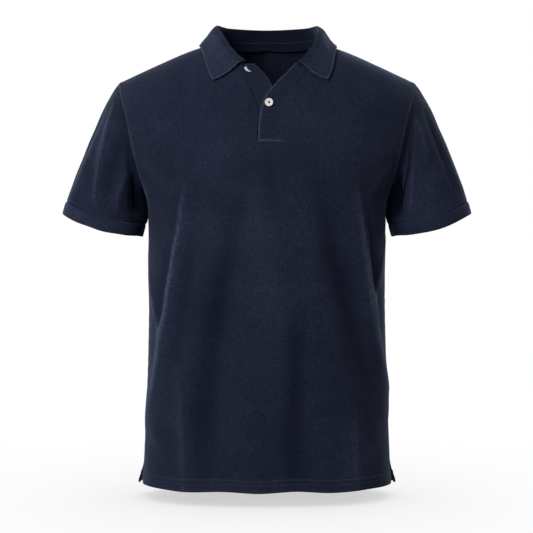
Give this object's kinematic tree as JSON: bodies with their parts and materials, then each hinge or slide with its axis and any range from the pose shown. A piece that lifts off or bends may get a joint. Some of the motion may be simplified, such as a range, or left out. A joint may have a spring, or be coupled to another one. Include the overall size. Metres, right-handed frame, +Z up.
{
  "type": "polo shirt",
  "caption": "Short-sleeved polo shirt in navy cotton knit, filled out as if worn, with a folded collar, a part-open buttoned placket, banded sleeves and side vents.",
  "frame": {"origin": "middle of the neck at the height of the shoulder line beside the collar, where the wearer holds the shirt up", "axes": "+Z up, towards the collar; -Y out of the front; +X towards the wearer's left sleeve"},
  "size_m": [0.6602, 0.257, 0.7419],
  "materials": {
    "knit": "washed cotton pique knit, matte with a faint sheen",
    "rib": "fine rib knit, matte",
    "button": "pearly off-white, satin gloss"
  },
  "bodies": {
    "root": {"front": "knit", "back": "knit", "sleeve_left": "knit", "sleeve_right": "knit", "cuff_left": "rib", "cuff_right": "rib", "placket_over": "knit", "placket_under": "knit", "collar": "rib", "button_top": "button", "button_lower": "button"}
  },
  "joints": []
}
